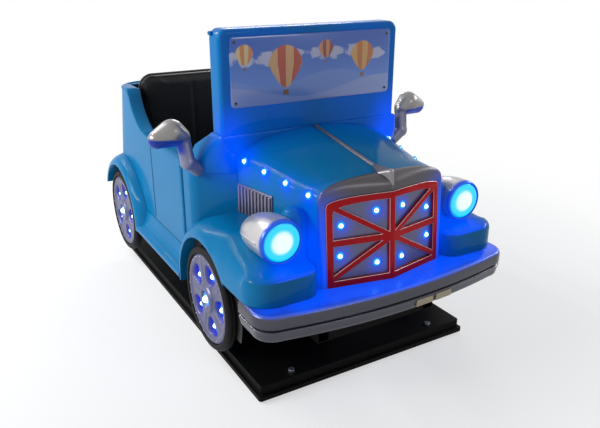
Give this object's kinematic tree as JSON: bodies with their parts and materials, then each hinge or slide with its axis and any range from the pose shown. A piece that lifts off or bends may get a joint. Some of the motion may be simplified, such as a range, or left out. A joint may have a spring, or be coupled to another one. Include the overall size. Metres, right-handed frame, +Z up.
{
  "type": "kiddie ride machine",
  "caption": "Coin-operated rocking car ride for a child: blue moulded car body on a black floor base, lit grille, headlights and wheels, bench seat, steering wheel and picture windscreen.",
  "frame": {"origin": "middle of the bounding box in plan, on the floor under the feet", "axes": "+Z up, the car faces -Y, +X is the rider's left"},
  "size_m": [1.0176, 1.544, 0.99],
  "materials": {
    "blue_shell": "gloss",
    "silver_trim": "satin",
    "bumper_silver": "satin",
    "red_trim": "gloss",
    "red_button": "gloss",
    "lamp_glow": "gloss",
    "lamp_lens": "gloss",
    "mirror_glass": "polished",
    "picture_print": "gloss",
    "screen_glass": "gloss",
    "black_steel": "matte",
    "bright_steel": "brushed",
    "cast_grey": "matte",
    "black_plastic": "matte",
    "nylon_roller": "matte",
    "seat_vinyl": "satin",
    "seat_box": "matte",
    "rubber_foot": "matte",
    "tyre_black": "satin",
    "plate_beige": "satin"
  },
  "bodies": {
    "base": {"base_pan": "black_steel", "base_feet": "rubber_foot", "base_bolts": "bright_steel", "base_stands": "black_steel", "pivot_bearings": "cast_grey", "gearbox": "cast_grey", "drive_motor": "black_steel", "power_box": "black_steel"},
    "switch": {"power_switch": "red_button"},
    "crank": {"crank": "bright_steel", "crank_roller": "nylon_roller"},
    "steering": {"steering_wheel": "black_plastic"},
    "horn": {"horn_button": "red_button"},
    "start_left": {"start_button_left": "lamp_glow"},
    "start_right": {"start_button_right": "red_button"},
    "reject": {"reject_button": "red_button"},
    "coin_door": {"coin_door": "bright_steel"},
    "coin_lock": {"coin_lock": "bright_steel"},
    "hatch": {"rear_hatch": "blue_shell"},
    "hatch_lock": {"hatch_lock": "bright_steel"},
    "car": {"pivot_shaft": "bright_steel", "chassis_frame": "black_steel", "drive_yoke": "black_steel", "body_tub": "blue_shell", "cowl": "blue_shell", "hood": "blue_shell", "hood_trim": "silver_trim", "body_lamps": "lamp_glow", "side_louvres": "silver_trim", "radiator_surround": "silver_trim", "grille_panel": "silver_trim", "grille_frame": "red_trim", "front_fenders": "blue_shell", "rear_fenders": "blue_shell", "running_boards": "blue_shell", "front_bumper": "bumper_silver", "bumper_plates": "plate_beige", "headlight_pods": "silver_trim", "headlight_lenses": "lamp_lens", "headlight_bulbs": "lamp_glow", "windscreen_housing": "blue_shell", "windscreen_back": "blue_shell", "picture_panel": "picture_print", "picture_screws": "bright_steel", "lcd_screen": "screen_glass", "mirror_shells": "silver_trim", "mirror_glasses": "mirror_glass", "tyres": "tyre_black", "wheel_discs": "silver_trim", "wheel_lamps": "lamp_glow", "seat_base": "seat_box", "seat_cushion": "seat_vinyl", "seat_back": "seat_vinyl", "dash_panel": "blue_shell", "speakers": "black_plastic", "steering_column": "black_plastic", "coin_acceptor": "bright_steel", "door_hinges": "bright_steel", "coin_box": "bright_steel", "controller": "bright_steel"}
  },
  "joints": [
    {"name": "rock", "type": "hinge", "parent": "base", "child": "car", "pos_m": [0, 0.06, 0.12], "axis": [1, 0, 0], "range_deg": [-3.5, 3.5]},
    {"name": "crank_turn", "type": "hinge", "parent": "base", "child": "crank", "pos_m": [0, -0.293, 0.098], "axis": [1, 0, 0], "range_deg": [-60, 60]},
    {"name": "switch_rock", "type": "hinge", "parent": "base", "child": "switch", "pos_m": [0.045, 0.628, 0.079], "axis": [1, 0, 0], "range_deg": [-10, 10]},
    {"name": "steer", "type": "hinge", "parent": "car", "child": "steering", "pos_m": [0, -0.032, 0.545], "axis": [0, 0.866, 0.5], "range_deg": [-120, 120]},
    {"name": "horn_press", "type": "slide", "parent": "steering", "child": "horn", "axis": [0, -0.866, -0.5], "range_m": [0, 0.0025], "stiffness_N_per_m": 1500, "springref_m": -0.003},
    {"name": "start_left_press", "type": "slide", "parent": "car", "child": "start_left", "axis": [0, -1, 0], "range_m": [0, 0.004], "stiffness_N_per_m": 1200, "springref_m": -0.003},
    {"name": "start_right_press", "type": "slide", "parent": "car", "child": "start_right", "axis": [0, -1, 0], "range_m": [0, 0.004], "stiffness_N_per_m": 1200, "springref_m": -0.003},
    {"name": "reject_press", "type": "slide", "parent": "car", "child": "reject", "axis": [0, -1, 0], "range_m": [0, 0.003], "stiffness_N_per_m": 800, "springref_m": -0.003},
    {"name": "coin_door_swing", "type": "hinge", "parent": "car", "child": "coin_door", "pos_m": [-0.31, -0.1432, 0.315], "axis": [0, 0, 1], "range_deg": [0, 100]},
    {"name": "coin_lock_turn", "type": "hinge", "parent": "coin_door", "child": "coin_lock", "pos_m": [-0.163, -0.15, 0.315], "axis": [0, 1, 0], "range_deg": [0, 90]},
    {"name": "hatch_swing", "type": "hinge", "parent": "car", "child": "hatch", "pos_m": [0, 0.64826, 0.52074], "axis": [1, 0, 0], "range_deg": [0, 100]},
    {"name": "hatch_lock_turn", "type": "hinge", "parent": "hatch", "child": "hatch_lock", "pos_m": [0, 0.70441, 0.32878], "axis": [0, 0.9598, 0.2808], "range_deg": [0, 90]}
  ],
  "couplings": [
    {"joint": "crank_turn", "follows": "rock", "ratio": -16.9}
  ]
}
